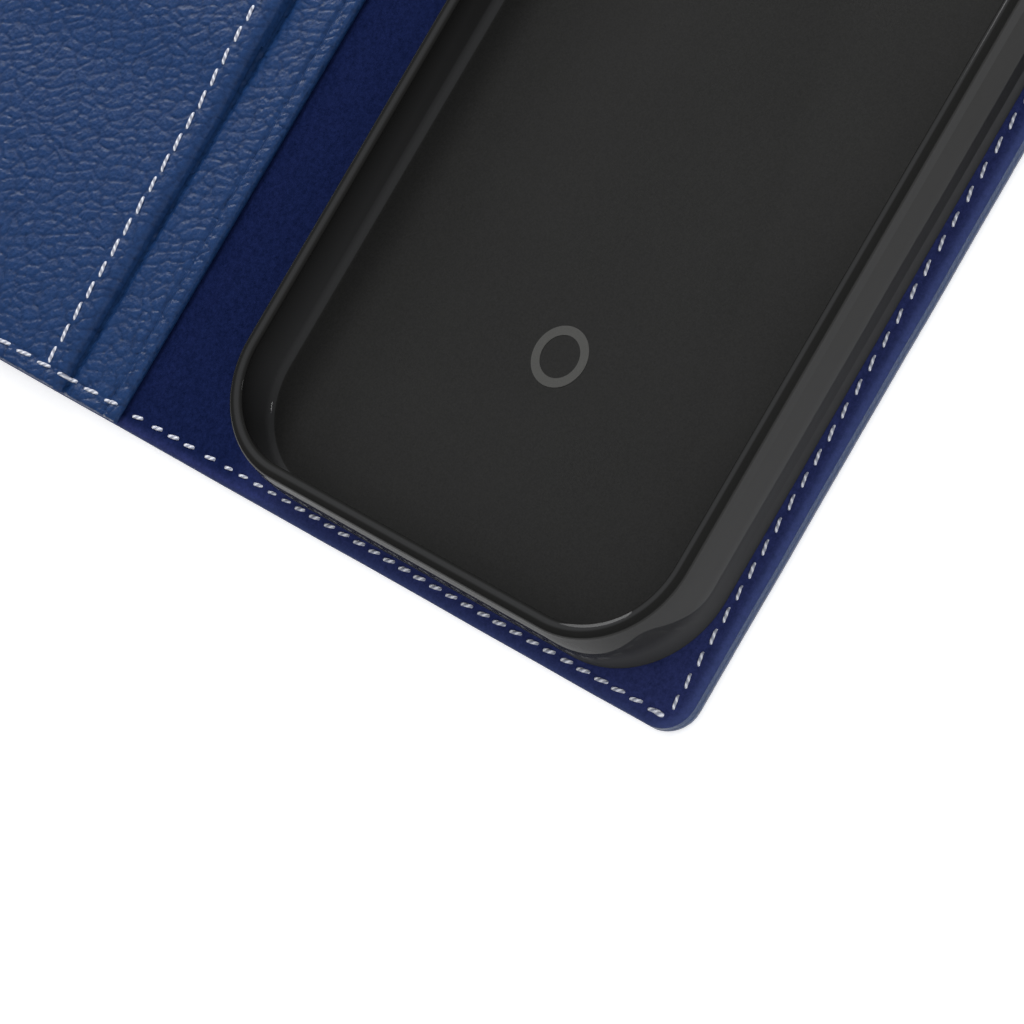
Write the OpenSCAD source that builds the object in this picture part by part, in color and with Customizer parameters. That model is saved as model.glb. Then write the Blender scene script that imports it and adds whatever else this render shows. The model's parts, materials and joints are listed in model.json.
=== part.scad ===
// Folding leather case for a phone, lying open with its inside up.
// +X runs from the front cover to the back cover, +Y to the phone's top, +Z up.
// The origin is the middle of the open case's footprint, on its outer face.

/* [Phone] */
// Width of the phone that the shell holds
phone_w = 71.5; // [58:0.1:86]
// Length of the phone
phone_len = 146.7; // [120:0.1:178]
// Thickness of the phone
phone_t = 7.8; // [6:0.1:10]
// Corner radius of the phone, seen from its front
phone_corner_r = 13; // [9:0.5:18]

/* [Shell] */
// Gap between the phone and the shell, on each side
phone_gap = 0.1; // [0.05:0.05:0.5]
// Thickness of the shell's wall at its foot
shell_wall = 1.45; // [1.2:0.05:2.2]
// Thickness of the shell's floor
shell_floor = 1.3; // [1:0.05:2]
// Height of the rim above the phone's face
rim_h = 0.7; // [0.5:0.1:1.5]
// How far the rim reaches in over the phone's face
rim_reach = 1.05; // [0.6:0.05:1.5]
// How far the wall leans in, from its foot to its rim
wall_lean = 1; // [0.4:0.05:1.2]
// Radius of the rim's outer edge
rim_r = 0.4; // [0.2:0.05:0.5]
// Radius of the corner between the shell's floor and wall
cove_r = 1.15; // [0.6:0.05:1.6]
// Depth of the recess under the shell, for the adhesive pad
pad_t = 0.3; // [0.2:0.05:0.4]
// How far the adhesive pad lies in from the shell's edge
pad_inset = 4; // [3:0.5:8]
// Diameter of the plain ring printed on the shell's floor
print_d = 8; // [5:0.5:12]
// Width of the printed ring's line
print_line = 1.2; // [0.6:0.1:2]
// Thickness of the print
print_t = 0.05; // [0.04:0.01:0.1]
// Distance from the phone's lower end to the middle of the print
print_y = 29.4; // [20:0.1:60]

/* [Openings in the shell] */
// Width of the camera opening
camera_w = 32; // [24:0.5:34]
// Length of the camera opening
camera_len = 34; // [24:0.5:38]
// Corner radius of the camera opening
camera_r = 8; // [4:0.5:10]
// Distance from the phone's corner to the camera opening, both ways
camera_inset = 3.5; // [3:0.5:6]
// How much wider the leather's window is than the shell's opening, on each side
window_step = 1.2; // [0.8:0.1:2]
// Height of the button openings
button_h = 4.2; // [3:0.1:4.6]
// Length of the opening for the two volume keys
volume_len = 31; // [20:0.5:36]
// Distance from the phone's upper end to the middle of the volume opening
volume_drop = 35; // [30:1:50]
// Length of the opening for the power key
power_len = 15; // [10:0.5:22]
// Distance from the phone's upper end to the middle of the power opening
power_drop = 40; // [30:1:50]

/* [Covers] */
// Thickness of the outer leather
outer_t = 2; // [1.6:0.1:2.6]
// Thickness of the stiffening board, let into the outer leather
board_t = 0.8; // [0.5:0.1:1]
// Thickness of the smooth lining
lining_t = 1; // [0.6:0.1:1.4]
// Leather left beside the shell along the free edge
margin_side = 3; // [3:0.1:8]
// Leather left beyond the shell at the top and the bottom
margin_end = 2.6; // [2.5:0.1:6]
// Corner radius of the covers
cover_r = 4.4; // [3:0.1:7]
// Distance from the leather's edge to the board
board_inset = 4; // [3.6:0.1:6]
// Gap all round the board
board_gap = 0.1; // [0.05:0.05:0.3]
// Distance from the spine's folds to its board
spine_board_inset = 0.5; // [0.4:0.1:1.5]

/* [Spine and folds] */
// Height of the fold lines above the outer face
fold_z = 1.8; // [1.6:0.05:2.2]
// Distance from the back cover's fold line to the shell
fold_to_shell = 1.6; // [1.5:0.1:3]
// Unstiffened leather on the cover's side of each fold line
fold_cover_side = 1.5; // [1.4:0.1:2]
// Unstiffened leather on the spine's side of each fold line
fold_spine_side = 3.3; // [3:0.1:4]
// Gap between the shell's rim and the pockets when the case is closed
close_gap = 0.45; // [0.3:0.05:2]

/* [Pockets] */
// Slack between the lining and the cash pocket's panel
pocket_gap = 0.15; // [0.1:0.05:0.4]
// Thickness of the cash pocket's panel
cash_t = 0.7; // [0.5:0.05:1]
// Distance from the front cover's fold line to the cash pocket's open edge
cash_setback = 1; // [1:0.1:3]
// Width of the turned hem along the cash pocket's open edge
hem_w = 2.2; // [1.5:0.1:4]
// Height that the hem stands up
hem_t = 0.2; // [0.1:0.05:0.3]
// Width of the margins where the pockets are glued and sewn down
sewn_w = 3.4; // [3:0.1:5]
// Distance from the fold line to the card panels' edge
card_setback = 11.3; // [8:0.1:16]
// Distance from the card panels' edge to their seam
card_seam_inset = 3.5; // [3:0.1:5]
// Thickness of the panel behind the card slots
base_t = 0.55; // [0.4:0.05:0.8]
// Room under the slot panels for the pocket linings
slot_room = 0.3; // [0.3:0.02:0.5]
// Thickness of the card slot panels
slot_t = 0.5; // [0.4:0.05:0.8]
// Gap between a slot panel and the one that it overlaps
card_gap = 0.05; // [0.03:0.01:0.1]
// Thickness of a pocket lining
pocket_lining_t = 0.12; // [0.08:0.01:0.12]
// Height of the lowest slot's mouth above the bottom edge
slot_1_top = 62; // [56:0.5:72]
// Step from one slot's mouth to the next
slot_step = 14; // [11:0.5:18]
// How far a slot panel reaches down behind the one in front
slot_overlap = 10; // [6:0.5:10.5]

/* [Stitching] */
// Distance from the leather's edge to the seam
seam_inset = 2.17; // [2:0.01:2.2]
// Thickness of the thread
thread_d = 0.5; // [0.3:0.05:0.6]
// Height that the thread stands above the leather
thread_h = 0.12; // [0.08:0.01:0.2]
// Depth of the groove for the seam in the outer face
groove_d = 0.3; // [0.2:0.05:0.4]
// Width of that groove
groove_w = 0.7; // [0.65:0.05:1]
// Distance from the camera window's edge to its seam
window_seam = 2; // [1.6:0.1:3]

/* [Hidden] */
$fn = 64;
JOIN = 1;
CURVE_STEPS = 6;

// Heights of the layers
lining_z = outer_t;
inside_z = lining_z + lining_t;
cash_z = inside_z + pocket_gap;
base_z = cash_z + cash_t;
base_top = base_z + base_t;
slot_z = base_top + slot_room;
over_z = slot_z + slot_t + card_gap;
pockets_top = over_z + slot_t + thread_h;

// The shell, and the covers round it
shell_foot = phone_gap + shell_wall;
shell_w = phone_w + 2 * shell_foot;
shell_len = phone_len + 2 * shell_foot;
shell_r = phone_corner_r + shell_foot;
phone_top = shell_floor + phone_t + phone_gap;
shell_h = phone_top + rim_h;
cover_w = fold_to_shell + shell_w + margin_side;
case_len = shell_len + 2 * margin_end;
spine_w = inside_z + shell_h + close_gap + pockets_top - 2 * fold_z;
fold_x = spine_w / 2;
edge_x = fold_x + cover_w;
shell_x = fold_x + fold_to_shell + shell_w / 2;
bottom_y = -case_len / 2;

// Where the stiff panels end at the folds
cover_x = fold_x + fold_cover_side;
spine_x = fold_x - fold_spine_side;
cash_x = -fold_x - cash_setback;
card_x = -fold_x - card_setback;
card_seam_x = card_x - card_seam_inset;

// The camera opening, at the phone's upper corner on the free side
camera_x = shell_x + phone_w / 2 - camera_inset - camera_w / 2;
camera_y = phone_len / 2 - camera_inset - camera_len / 2;

// The card slots, from the bottom edge up
slot_2_top = slot_1_top + slot_step;
slot_3_top = slot_2_top + slot_step;
slot_2_low = slot_1_top - slot_overlap;
slot_3_low = slot_2_top - slot_overlap;
DRAPE = 2.5;
DRAPE_END = 0.2;

LEATHER = [0.16, 0.25, 0.44];
LINING = [0.07, 0.1, 0.3];
SHELL = [0.1, 0.1, 0.1];
THREAD = [0.85, 0.87, 0.92];
BOARD = [0.6, 0.56, 0.48];

// Rectangle with four round corners, centred
module round_rect(w, l, r) {
    square([w - 2 * r, l], center = true);
    square([w, l - 2 * r], center = true);
    for (sx = [-1, 1])
        for (sy = [-1, 1])
            translate([sx * (w / 2 - r), sy * (l / 2 - r)]) circle(r);
}

// A cover's outline from x_in, by the fold, out to x_out, with its two free corners round
module cover_outline(x_in, x_out, l, r) {
    translate([x_in, -l / 2]) square([x_out - x_in - r, l]);
    translate([x_out - r - JOIN, -l / 2 + r]) square([r + JOIN, l - 2 * r]);
    for (s = [-1, 1])
        translate([x_out - r, s * (l / 2 - r)]) circle(r);
}

// A band between two X places, over the case's whole length
module band(x0, x1, z, t) {
    translate([x0, bottom_y, z]) cube([x1 - x0, case_len, t]);
}

// The three straight runs of a cover's seam, as one band w wide round the free edge
module cover_seam(x_in, w, z, t) {
    out = edge_x - seam_inset + w / 2;
    side = case_len / 2 - seam_inset + w / 2;
    translate([0, 0, z]) linear_extrude(t) difference() {
        translate([x_in, -side]) square([out - x_in, 2 * side]);
        translate([x_in - JOIN, -side + w]) square([out - w - x_in + JOIN, 2 * side - 2 * w]);
    }
}

// Two runs of seam along the top and the bottom edge
module end_seams(x0, x1, w, z, t) {
    for (s = [-1, 1])
        translate([x0, s * (case_len / 2 - seam_inset) - w / 2, z]) cube([x1 - x0, w, t]);
}

// The window through a cover for the camera
module camera_window(step, z, t) {
    translate([camera_x, camera_y, z]) linear_extrude(t)
        round_rect(camera_w + 2 * step, camera_len + 2 * step, camera_r + step);
}

// A ring of band w wide round the camera window, for its seam
module window_ring(w, z, t) {
    step = window_step + window_seam;
    difference() {
        camera_window(step + w / 2, z, t);
        camera_window(step - w / 2, z - JOIN, t + 2 * JOIN);
    }
}

// A cover's outer leather: outline, recess for the board, and the groove for the seam
module outer_leather() {
    difference() {
        linear_extrude(outer_t) cover_outline(cover_x, edge_x, case_len, cover_r);
        translate([0, 0, outer_t - board_t]) board_block(0, board_t + JOIN);
        cover_seam(cover_x - JOIN, groove_w, -JOIN, JOIN + groove_d);
    }
}

// The board, or with gap 0 the recess that holds it
module board_block(gap, t) {
    x0 = cover_x + board_inset + gap;
    x1 = edge_x - board_inset - gap;
    l = case_len - 2 * board_inset - 2 * gap;
    translate([x0, -l / 2, 0]) cube([x1 - x0, l, t]);
}

module lining_panel() {
    translate([0, 0, lining_z]) linear_extrude(lining_t) cover_outline(cover_x, edge_x, case_len, cover_r);
}

// --- Back cover ---

module back_outer_leather() {
    color(LEATHER) difference() {
        outer_leather();
        camera_window(window_step, -JOIN, outer_t + 2 * JOIN);
        window_ring(groove_w, -JOIN, JOIN + groove_d);
    }
}

module back_board() {
    color(BOARD) difference() {
        translate([0, 0, outer_t - board_t]) board_block(board_gap, board_t);
        camera_window(window_step + board_gap, 0, outer_t + JOIN);
    }
}

module back_lining() {
    color(LINING) difference() {
        lining_panel();
        camera_window(window_step, lining_z - JOIN, lining_t + 2 * JOIN);
    }
}

// The pad in the recess under the shell, cut away round the camera
module adhesive_block(gap, t) {
    difference() {
        translate([shell_x, 0, inside_z]) linear_extrude(t)
            round_rect(shell_w - 2 * (pad_inset + gap), shell_len - 2 * (pad_inset + gap), shell_r - pad_inset - gap);
        camera_window(window_step + window_seam + gap, inside_z - JOIN, t + 2 * JOIN);
    }
}

module shell_adhesive() {
    color("dimgray") adhesive_block(board_gap, pad_t);
}

// Points of an arc about [x, y], from angle a0 to a1
function arc(x, y, r, a0, a1) =
    [for (i = [0:CURVE_STEPS]) let (a = a0 + (a1 - a0) * i / CURVE_STEPS) [x + r * cos(a), y + r * sin(a)]];

// The wall's section: X is the distance in from the shell's foot, Y the height.
// Its outside leans in with the square of the height, up to the rim's round edge.
module wall_section() {
    lean_end = shell_h - rim_r;
    rim_in = shell_wall + rim_reach;
    polygon(concat(
        [for (i = [0:CURVE_STEPS]) [wall_lean * pow(i / CURVE_STEPS, 2), lean_end * i / CURVE_STEPS]],
        arc(wall_lean + rim_r, lean_end, rim_r, 180, 90),
        [[rim_in, shell_h - rim_r / 2], [rim_in, phone_top]],
        arc(rim_in, phone_top - rim_reach, rim_reach, 90, 180),
        arc(shell_wall + cove_r, shell_floor + cove_r, cove_r, 180, 270),
        [[shell_wall + cove_r, 0]]
    ));
}

// Carries a section round the shell's outline
module carry_round() {
    for (side = [0:3]) {
        along = side % 2 == 0 ? shell_len : shell_w;
        across = side % 2 == 0 ? shell_w : shell_len;
        rotate([0, 0, 90 * side]) {
            translate([across / 2, along / 2 - shell_r, 0])
                rotate([90, 0, 0]) linear_extrude(along - 2 * shell_r) mirror([1, 0]) children();
            translate([across / 2 - shell_r, along / 2 - shell_r, 0])
                rotate_extrude(angle = 90) translate([shell_r, 0]) mirror([1, 0]) children();
        }
    }
}

// A slot with round ends through one side wall, len long and button_h high
module button_slot(side, drop, len) {
    z = inside_z + shell_floor + phone_t / 2;
    span = len - button_h;
    reach = shell_wall + rim_reach + 2 * JOIN;
    translate([shell_x + side * (shell_w / 2 + JOIN), phone_len / 2 - drop, z]) rotate([0, -side * 90, 0]) {
        translate([-button_h / 2, -span / 2, 0]) cube([button_h, span, reach]);
        for (s = [-1, 1])
            translate([0, s * span / 2, 0]) cylinder(h = reach, d = button_h);
    }
}

module phone_shell() {
    color(SHELL) difference() {
        translate([shell_x, 0, inside_z]) {
            carry_round() wall_section();
            linear_extrude(shell_floor) round_rect(
                shell_w - 2 * (shell_wall + cove_r), shell_len - 2 * (shell_wall + cove_r),
                shell_r - shell_wall - cove_r);
        }
        adhesive_block(0, pad_t);
        camera_window(0, inside_z - JOIN, shell_floor + 2 * JOIN);
        button_slot(-1, volume_drop, volume_len);
        button_slot(1, power_drop, power_len);
    }
}

module shell_print() {
    color("gray") translate([shell_x, print_y - phone_len / 2, inside_z + shell_floor]) difference() {
        cylinder(h = print_t, d = print_d);
        translate([0, 0, -JOIN]) cylinder(h = print_t + 2 * JOIN, d = print_d - 2 * print_line);
    }
}

module back_edge_thread() {
    color(THREAD) {
        cover_seam(cover_x, thread_d, inside_z, thread_h);
        cover_seam(cover_x, thread_d, groove_d - thread_h, thread_h);
    }
}

module camera_window_thread() {
    color(THREAD) window_ring(thread_d, groove_d - thread_h, thread_h);
}

// --- Folds: the same leather and lining, left without a board ---

// One layer of a fold, between the spine and a cover; s is 1 at the back and -1 at the front
module fold_layer(s, z, t) {
    band(min(s * spine_x, s * cover_x), max(s * spine_x, s * cover_x), z, t);
}

module fold_leather(s) {
    color(LEATHER) difference() {
        fold_layer(s, 0, outer_t);
        end_seams(-cover_x - JOIN, cover_x + JOIN, groove_w, -JOIN, JOIN + groove_d);
    }
}

module back_fold_leather() {
    fold_leather(1);
}

module front_fold_leather() {
    fold_leather(-1);
}

module back_fold_lining() {
    color(LINING) fold_layer(1, lining_z, lining_t);
}

module front_fold_lining() {
    color(LINING) fold_layer(-1, lining_z, lining_t);
}

module back_fold_thread() {
    color(THREAD) {
        end_seams(spine_x, cover_x, thread_d, inside_z, thread_h);
        end_seams(spine_x, cover_x, thread_d, groove_d - thread_h, thread_h);
    }
}

// On the inside this run stops at the cash pocket's open edge
module front_fold_thread() {
    color(THREAD) {
        end_seams(cash_x, -spine_x, thread_d, inside_z, thread_h);
        end_seams(-cover_x, -spine_x, thread_d, groove_d - thread_h, thread_h);
    }
}

// --- Spine ---

module spine_outer_leather() {
    color(LEATHER) difference() {
        band(-spine_x, spine_x, 0, outer_t);
        translate([0, 0, outer_t - board_t]) spine_board_block(0, board_t + JOIN);
        end_seams(-spine_x - JOIN, spine_x + JOIN, groove_w, -JOIN, JOIN + groove_d);
    }
}

module spine_board_block(gap, t) {
    w = 2 * (spine_x - spine_board_inset - gap);
    l = case_len - 2 * (board_inset + gap);
    translate([-w / 2, -l / 2, 0]) cube([w, l, t]);
}

module spine_board() {
    color(BOARD) translate([0, 0, outer_t - board_t]) spine_board_block(board_gap, board_t);
}

module spine_lining() {
    color(LINING) band(-spine_x, spine_x, lining_z, lining_t);
}

module spine_edge_thread() {
    color(THREAD) {
        end_seams(-spine_x, spine_x, thread_d, inside_z, thread_h);
        end_seams(-spine_x, spine_x, thread_d, groove_d - thread_h, thread_h);
    }
}

// --- Front cover ---

module front_outer_leather() {
    color(LEATHER) mirror([1, 0, 0]) outer_leather();
}

module front_board() {
    color(BOARD) mirror([1, 0, 0]) translate([0, 0, outer_t - board_t]) board_block(board_gap, board_t);
}

module front_lining() {
    color(LINING) mirror([1, 0, 0]) lining_panel();
}

// A flat panel over the front cover from x_in to the free edge, z to z + t
module pocket_sheet(x_in, z, t) {
    translate([0, 0, z]) linear_extrude(t) mirror([1, 0]) cover_outline(-x_in, edge_x, case_len, cover_r);
}

// The cash pocket is sewn down along three sides, and open towards the spine
module cash_pocket_panel() {
    color(LEATHER) {
        pocket_sheet(cash_x, cash_z, cash_t);
        translate([cash_x - hem_w, bottom_y, base_z]) cube([hem_w, case_len, hem_t]);
        difference() {
            pocket_sheet(-cover_x, inside_z, pocket_gap);
            translate([-edge_x + sewn_w, bottom_y + sewn_w, inside_z - JOIN])
                cube([edge_x, case_len - 2 * sewn_w, pocket_gap + 2 * JOIN]);
        }
    }
}

module card_base_panel() {
    color(LEATHER) pocket_sheet(card_x, base_z, base_t);
}

// Two side margins of the card pockets, from y0 to y1 above the bottom edge
module slot_sides(y0, y1) {
    translate([0, 0, base_top]) linear_extrude(slot_room) intersection() {
        mirror([1, 0]) cover_outline(-card_x, edge_x, case_len, cover_r);
        for (x = [-edge_x, card_x - sewn_w])
            translate([x, bottom_y + y0]) square([sewn_w, y1 - y0]);
    }
}

// A slot panel from y0 up to y1, which climbs onto the panel behind it below height climb
module draped_panel(y0, y1, climb) {
    level = climb - DRAPE_END;
    rise = over_z - slot_z;
    intersection() {
        translate([card_x, bottom_y, 0]) rotate([90, 0, -90]) linear_extrude(edge_x + card_x)
            mirror([1, 0]) polygon([
                [y0, slot_z], [level - DRAPE, slot_z], [level, slot_z + rise], [y1, slot_z + rise],
                [y1, over_z + slot_t], [level, over_z + slot_t], [level - DRAPE, slot_z + slot_t],
                [y0, slot_z + slot_t]
            ]);
        pocket_sheet(card_x, slot_z, over_z + slot_t - slot_z);
    }
    slot_sides(y0, level - DRAPE);
}

module card_slot_panel_1() {
    color(LEATHER) {
        draped_panel(0, slot_1_top, slot_2_low);
        translate([-edge_x + cover_r, bottom_y, base_top]) cube([edge_x + card_x - cover_r, sewn_w, slot_room]);
    }
}

module card_slot_panel_2() {
    color(LEATHER) draped_panel(slot_2_low, slot_2_top, slot_3_low);
}

module card_slot_panel_3() {
    color(LEATHER) {
        translate([-edge_x, bottom_y + slot_3_low, slot_z])
            cube([edge_x + card_x, slot_3_top - slot_3_low, slot_t]);
        slot_sides(slot_3_low, slot_3_top);
    }
}

// A thin fabric that carries a slot's pocket down to the bottom, inside the sewn margins
module pocket_lining(top, z) {
    x0 = -edge_x + sewn_w + board_gap;
    y0 = sewn_w + board_gap;
    color("midnightblue") translate([x0, bottom_y + y0, z])
        cube([card_x - sewn_w - board_gap - x0, top - y0, pocket_lining_t]);
}

module card_slot_lining_3() {
    pocket_lining(slot_3_low + sewn_w, base_top);
}

module card_slot_lining_2() {
    pocket_lining(slot_2_low + sewn_w, base_top + slot_room / 2);
}

// Runs of thread up the front cover, each on the surface that shows there: [from, to, height]
function thread_runs() = [
    [seam_inset, slot_2_low - DRAPE - DRAPE_END, slot_z + slot_t],
    [slot_2_low, slot_1_top, over_z + slot_t],
    [slot_3_low, slot_2_top, over_z + slot_t],
    [slot_2_top, slot_3_top, slot_z + slot_t],
    [slot_3_top, case_len - seam_inset, base_top]
];

module up_the_cover(x) {
    for (run = thread_runs())
        translate([x - thread_d / 2, bottom_y + run[0], run[2]]) cube([thread_d, run[1] - run[0], thread_h]);
}

module card_seam_thread() {
    color(THREAD) up_the_cover(card_seam_x);
}

// The seam round the front cover's free edges, on the pockets inside and in the groove outside
module front_edge_thread() {
    side = case_len - seam_inset - thread_d / 2;
    left = -edge_x + seam_inset;
    color(THREAD) {
        mirror([1, 0, 0]) cover_seam(cover_x, thread_d, groove_d - thread_h, thread_h);
        up_the_cover(left);
        for (run = [[seam_inset - thread_d / 2, slot_z + slot_t], [side, base_top]]) {
            translate([left + thread_d / 2, bottom_y + run[0], run[1]])
                cube([card_seam_x - thread_d / 2 - left - thread_d / 2, thread_d, thread_h]);
            translate([card_seam_x + thread_d / 2, bottom_y + run[0], run[1]])
                cube([card_x - card_seam_x - thread_d / 2, thread_d, thread_h]);
            translate([card_x, bottom_y + run[0], base_z])
                cube([cash_x - hem_w - card_x, thread_d, thread_h]);
            translate([cash_x - hem_w, bottom_y + run[0], base_z + hem_t])
                cube([hem_w, thread_d, thread_h]);
        }
    }
}

back_outer_leather();
back_board();
back_lining();
shell_adhesive();
phone_shell();
shell_print();
back_edge_thread();
camera_window_thread();
back_fold_leather();
back_fold_lining();
back_fold_thread();
spine_outer_leather();
spine_board();
spine_lining();
spine_edge_thread();
front_fold_leather();
front_fold_lining();
front_fold_thread();
front_outer_leather();
front_board();
front_lining();
cash_pocket_panel();
card_base_panel();
card_slot_lining_3();
card_slot_lining_2();
card_slot_panel_3();
card_slot_panel_2();
card_slot_panel_1();
card_seam_thread();
front_edge_thread();
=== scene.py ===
"""A folding leather phone case, lying open: looks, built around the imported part.

Lengths are worked out in millimetres and become metres when a mesh is made. +X runs from the front
cover to the back cover, +Y to the phone's top, +Z up. Heights count from the case's outer face.
"""
import json
import math

import bpy
import bmesh
import numpy as np
from mathutils import Matrix, Vector


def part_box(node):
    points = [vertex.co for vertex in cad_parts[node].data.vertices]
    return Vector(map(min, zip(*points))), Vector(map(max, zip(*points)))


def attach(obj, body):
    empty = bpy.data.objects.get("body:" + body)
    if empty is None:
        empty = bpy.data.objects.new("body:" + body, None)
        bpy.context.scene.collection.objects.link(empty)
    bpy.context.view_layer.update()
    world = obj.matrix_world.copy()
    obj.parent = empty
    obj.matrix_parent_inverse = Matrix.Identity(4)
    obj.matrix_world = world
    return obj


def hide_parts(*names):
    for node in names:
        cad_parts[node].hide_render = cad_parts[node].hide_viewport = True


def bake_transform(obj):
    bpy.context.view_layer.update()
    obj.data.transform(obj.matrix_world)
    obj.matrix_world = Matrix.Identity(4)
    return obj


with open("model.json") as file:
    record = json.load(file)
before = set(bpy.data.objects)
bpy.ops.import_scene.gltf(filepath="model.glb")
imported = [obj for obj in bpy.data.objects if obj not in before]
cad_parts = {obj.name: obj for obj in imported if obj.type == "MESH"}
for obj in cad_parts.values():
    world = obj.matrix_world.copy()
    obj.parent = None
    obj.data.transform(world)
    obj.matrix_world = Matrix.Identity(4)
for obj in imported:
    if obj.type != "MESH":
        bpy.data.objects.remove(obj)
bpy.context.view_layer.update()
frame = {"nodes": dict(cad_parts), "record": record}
MM = 0.001


def span(node):
    """Lowest and highest corner of a CAD node, in millimetres."""
    low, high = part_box(node)
    return np.array(low) / MM, np.array(high) / MM


# ---------------------------------------------------------------- sizes that the CAD part gives

back_low, back_high = span("back_outer_leather")
EDGE_X = float(back_high[0])
HALF_LEN = float(back_high[1])
COVER_X = float(back_low[0])
SPINE_X = float(span("spine_outer_leather")[1][0])
OUTER_T = float(back_high[2])
INSIDE_Z = float(span("back_lining")[1][2])
CASH_X = float(span("cash_pocket_panel")[1][0])
base_low, base_high = span("card_base_panel")
CARD_X, CASH_TOP, BASE_TOP = float(base_high[0]), float(base_low[2]), float(base_high[2])
slot_low = {k: span(f"card_slot_panel_{k}")[0] for k in (1, 2, 3)}
slot_high = {k: span(f"card_slot_panel_{k}")[1] for k in (1, 2, 3)}
# tops of a slot panel where it lies low, and where it rests on the panel behind it
LEVEL_A = float(slot_high[3][2])
LEVEL_B = float(slot_high[1][2])
THREAD_HALF = 0.25
seam_high = span("back_edge_thread")[1]
SEAM_X = float(seam_high[0]) - THREAD_HALF
SEAM_Y = float(seam_high[1]) - THREAD_HALF
CARD_SEAM_X = float(sum(c[0] for c in span("card_seam_thread")) / 2)
shell_low, shell_high = span("phone_shell")
shell_mid = (shell_low + shell_high) / 2
shell_half = (shell_high - shell_low) / 2
window_low, window_high = span("camera_window_thread")
window_mid = (window_low + window_high) / 2
WINDOW_SEAM = (window_high - window_low)[:2] / 2 - THREAD_HALF
# the openings of the shell, by name: lowest and highest corner
opening_of = {o["name"]: np.array(o["box_m"]) / MM for o in frame["record"]["physics"]["openings"]}

# ---------------------------------------------------------------- sizes chosen for the looks

COVER_R = 4.4
SHELL_R = 14.55
FLOOR_T = 1.3
SLOT_T = 0.5
# half sizes of the window and of the shell's camera opening, and the radii of their corners
WINDOW = WINDOW_SEAM - 2.0
CAMERA = WINDOW - 1.2
CAMERA_R, WINDOW_R, WINDOW_SEAM_R = 8.0, 9.2, 11.2
# how far the lining's and the pockets' free edges lie inside the outer leather's
LINING_IN, POCKET_IN = 0.02, 0.08
# how far below the next panel's lower edge each slot panel starts to rise
DRAPE = {1: 12.0, 2: 2.5}
# waviness of the free edges
SWAY = 0.05
# tone of a piece's edges, for the attributes "grain" and "edge"
EDGE_TONE = 0.75
# pitch of a grid at seams and rolled edges
FINE = 0.16
# depth and half width of the trough along a seam, on the outer face, the lining and the slot panels
OUTER_TROUGH, LINING_TROUGH, SLOT_TROUGH = (0.26, 0.30), (0.10, 0.55), (0.12, 0.5)


# ---------------------------------------------------------------- noise and the leather's grain

def scatter(i, j, k):
    """A settled number from 0 to 1 for each lattice place (i, j); k picks another set."""
    v = np.sin(i * 127.1 + j * 311.7 + k * 74.7) * 43758.5453
    return v - np.floor(v)


def ripple(x, y, k=0):
    """Smooth noise from -1 to 1: lattice numbers, eased between their four neighbours."""
    i, j = np.floor(x), np.floor(y)
    u, v = x - i, y - j
    u, v = u * u * (3 - 2 * u), v * v * (3 - 2 * v)
    low = scatter(i, j, k) * (1 - u) + scatter(i + 1, j, k) * u
    high = scatter(i, j + 1, k) * (1 - u) + scatter(i + 1, j + 1, k) * u
    return 2 * (low * (1 - v) + high * v) - 1


def nearest_two(u, v, k):
    """Distances from each point to the nearest and the next of one jittered point per unit square."""
    i, j = np.floor(u), np.floor(v)
    first = np.full(u.shape, 9.0)
    second = np.full(u.shape, 9.0)
    for di in (-1, 0, 1):
        for dj in (-1, 0, 1):
            pu = i + di + 0.5 + 0.85 * (scatter(i + di, j + dj, k) - 0.5)
            pv = j + dj + 0.5 + 0.85 * (scatter(i + di, j + dj, k + 1) - 0.5)
            d = np.hypot(u - pu, v - pv)
            second = np.minimum(second, np.maximum(first, d))
            first = np.minimum(first, d)
    return first, second


def grain(x, y):
    """Pebbled grain, 0 in a crease to 1 on top. Cells come from the gap between the two nearest
    scattered points, on a plane turned and stretched along the hide's lay and bent by slow noise."""
    lay, length, width, bend = math.radians(22), 2.7, 1.55, 0.42
    c, s = math.cos(lay), math.sin(lay)
    u = (c * x + s * y) / length + bend * ripple(x / 3.7, y / 2.9, 3)
    v = (-s * x + c * y) / width + bend * ripple(x / 4.1, y / 3.3, 5)
    first, second = nearest_two(u, v, 11)
    rim = np.clip((second - first) / 0.38, 0, 1)
    dome = np.sqrt(np.clip(rim * (2 - rim), 0, 1)) * (1 - 0.35 * np.clip(first, 0, 1))
    a, b = nearest_two(u * 2.1 + 7.3, v * 1.9 + 2.1, 23)
    wrinkle = np.clip((b - a) / 0.4, 0, 1)
    return np.clip(0.8 * dome + 0.2 * wrinkle, 0, 1)


# ---------------------------------------------------------------- meshes

def places(a, b, pitch, fine=(), fine_pitch=0.14):
    """Places from a to b, about pitch apart, and fine_pitch apart inside the bands (from, to)."""
    t = np.linspace(a, b, 4001)
    step = np.full(t.shape, float(pitch))
    for low, high in fine:
        step[(t > low) & (t < high)] = fine_pitch
    count = np.concatenate([[0], np.cumsum((t[1:] - t[:-1]) / ((step[1:] + step[:-1]) / 2))])
    n = max(2, int(round(count[-1])))
    return np.interp(np.linspace(0, count[-1], n + 1), count, t)


def grid_quads(n, m):
    """Quads of an n by m grid of vertices, numbered row by row, facing +Z."""
    i, j = np.meshgrid(np.arange(n - 1), np.arange(m - 1), indexing="ij")
    k = (i * m + j).ravel()
    return np.stack([k, k + m, k + m + 1, k + 1], 1)


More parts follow.
